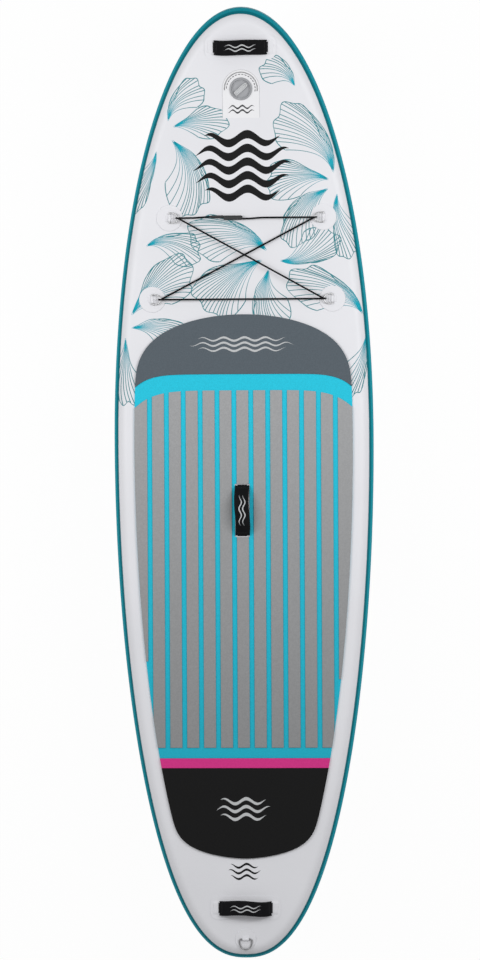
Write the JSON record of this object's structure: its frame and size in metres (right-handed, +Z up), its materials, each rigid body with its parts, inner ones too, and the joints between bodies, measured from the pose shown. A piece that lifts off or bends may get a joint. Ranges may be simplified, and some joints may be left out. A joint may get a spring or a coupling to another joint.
{
  "type": "inflatable stand-up paddle board",
  "caption": "Inflatable stand-up paddle board with a planked foam deck pad, carry handles, an elastic deck lashing on D-rings, an inflation valve and a removable centre fin.",
  "frame": {"origin": "under the middle of the board's length and width, level with the tip of the centre fin", "axes": "+Y to the nose, +Z up out of the deck, +X to the right seen from above with the nose up"},
  "size_m": [0.8014, 2.9019, 0.5302],
  "materials": {
    "chamber_fabric": "woven drop-stitch polyester, matte",
    "white_pvc": "white coated PVC fabric, satin",
    "rail_pvc": "pale coated PVC fabric, satin",
    "teal_pvc": "teal PVC seam tape, satin",
    "cyan_foam": "cyan EVA foam, brushed",
    "grey_foam": "grey EVA foam, brushed",
    "slate_foam": "slate grey EVA foam, brushed",
    "magenta_foam": "magenta EVA foam, brushed",
    "black_foam": "black EVA foam, brushed",
    "webbing": "black woven webbing",
    "neoprene": "black neoprene",
    "stainless": "polished stainless steel",
    "elastic": "black braided elastic cord",
    "sleeve_plastic": "black moulded plastic",
    "valve_grey": "grey moulded plastic",
    "valve_dark": "dark grey moulded plastic",
    "seal_rubber": "black seal rubber",
    "fin_black": "black moulded plastic, satin",
    "brass": "brass"
  },
  "bodies": {
    "hull": {"drop_stitch_core": "chamber_fabric", "deck_skin": "white_pvc", "bottom_skin": "white_pvc", "rail_band": "rail_pvc", "deck_seam_tape": "teal_pvc", "bottom_seam_tape": "teal_pvc", "pad_nose_arch": "slate_foam", "pad_base": "cyan_foam", "pad_stripe": "magenta_foam", "pad_tail": "black_foam", "pad_plank_01": "grey_foam", "pad_plank_02": "grey_foam", "pad_plank_03": "grey_foam", "pad_plank_04": "grey_foam", "pad_plank_05": "grey_foam", "pad_plank_06": "grey_foam", "pad_plank_07_front": "grey_foam", "pad_plank_07_rear": "grey_foam", "pad_plank_08": "grey_foam", "pad_plank_09": "grey_foam", "pad_plank_10": "grey_foam", "pad_plank_11": "grey_foam", "pad_plank_12": "grey_foam", "pad_plank_13": "grey_foam", "nose_handle_patch": "white_pvc", "nose_handle_strap": "webbing", "nose_handle_grip": "neoprene", "centre_handle_patch": "white_pvc", "centre_handle_strap": "webbing", "centre_handle_grip": "neoprene", "tail_handle_patch": "white_pvc", "tail_handle_strap": "webbing", "tail_handle_grip": "neoprene", "lashing_ring_front_left_patch": "white_pvc", "lashing_ring_front_right_patch": "white_pvc", "lashing_ring_rear_left_patch": "white_pvc", "lashing_ring_rear_right_patch": "white_pvc", "leash_ring_patch": "white_pvc", "lashing_cord": "elastic", "lashing_sleeve_left": "sleeve_plastic", "lashing_sleeve_right": "sleeve_plastic", "valve_body": "valve_grey", "valve_nut": "valve_dark", "valve_spring": "stainless", "fin_box": "fin_black", "side_fin_left": "fin_black", "side_fin_right": "fin_black"},
    "lashing_ring_front_left": {"lashing_ring_front_left": "stainless"},
    "lashing_ring_front_right": {"lashing_ring_front_right": "stainless"},
    "lashing_ring_rear_left": {"lashing_ring_rear_left": "stainless"},
    "lashing_ring_rear_right": {"lashing_ring_rear_right": "stainless"},
    "leash_ring": {"leash_ring": "stainless"},
    "valve_gasket_ring": {"valve_gasket": "seal_rubber"},
    "valve_cap": {"valve_cap": "valve_grey"},
    "valve_seal_disc": {"valve_seal": "seal_rubber"},
    "valve_stem": {"valve_stem": "valve_dark"},
    "centre_fin": {"centre_fin": "fin_black", "fin_pin": "brass", "fin_plate_nut": "brass"},
    "fin_thumb_screw": {"fin_thumb_screw": "stainless"}
  },
  "joints": [
    {"name": "lashing_ring_front_left_swing", "type": "hinge", "parent": "hull", "child": "lashing_ring_front_left", "pos_m": [-0.22183, 0.82203, 0.38948], "axis": [0, -0.9893, -0.1456], "range_deg": [0, 60], "deforming": ["lashing_cord"]},
    {"name": "lashing_ring_front_right_swing", "type": "hinge", "parent": "hull", "child": "lashing_ring_front_right", "pos_m": [0.24783, 0.82203, 0.38948], "axis": [0, 0.9893, 0.1456], "range_deg": [0, 60], "deforming": ["lashing_cord"]},
    {"name": "lashing_ring_rear_left_swing", "type": "hinge", "parent": "hull", "child": "lashing_ring_rear_left", "pos_m": [-0.27766, 0.57568, 0.36228], "axis": [0, -0.9969, -0.0783], "range_deg": [0, 60], "deforming": ["lashing_cord"]},
    {"name": "lashing_ring_rear_right_swing", "type": "hinge", "parent": "hull", "child": "lashing_ring_rear_right", "pos_m": [0.27466, 0.57568, 0.36228], "axis": [0, 0.9969, 0.0783], "range_deg": [0, 60], "deforming": ["lashing_cord"]},
    {"name": "leash_ring_swing", "type": "hinge", "parent": "hull", "child": "leash_ring", "pos_m": [0, -1.38094, 0.37609], "axis": [-1, 0, 0], "range_deg": [0, 165]},
    {"name": "valve_cap_rise", "type": "slide", "parent": "hull", "child": "valve_gasket_ring", "axis": [0, -0.243, 0.97], "range_m": [0, 0.0045]},
    {"name": "valve_cap_turn", "type": "hinge", "parent": "valve_gasket_ring", "child": "valve_cap", "pos_m": [0, 1.20178, 0.46198], "axis": [0, -0.243, 0.97], "range_deg": [0, 90]},
    {"name": "valve_push", "type": "slide", "parent": "hull", "child": "valve_seal_disc", "axis": [0, 0.243, -0.97], "range_m": [0, 0.008], "stiffness_N_per_m": 400, "springref_m": -0.004, "deforming": ["valve_spring"]},
    {"name": "valve_lock_turn", "type": "hinge", "parent": "valve_seal_disc", "child": "valve_stem", "pos_m": [0, 1.21067, 0.42648], "axis": [0, -0.243, 0.97], "range_deg": [0, 90]},
    {"name": "centre_fin_slide", "type": "slide", "parent": "hull", "child": "centre_fin", "axis": [0, -0.9989, 0.0471], "range_m": [-0.025, 0.025]},
    {"name": "fin_screw_turn", "type": "hinge", "parent": "centre_fin", "child": "fin_thumb_screw", "pos_m": [0, -1.08444, 0.19689], "axis": [0, -0.0471, -0.9989], "range_deg": [0, 360]}
  ],
  "couplings": [
    {"joint": "valve_cap_rise", "follows": "valve_cap_turn", "m_per_rad": 0.0025465}
  ]
}
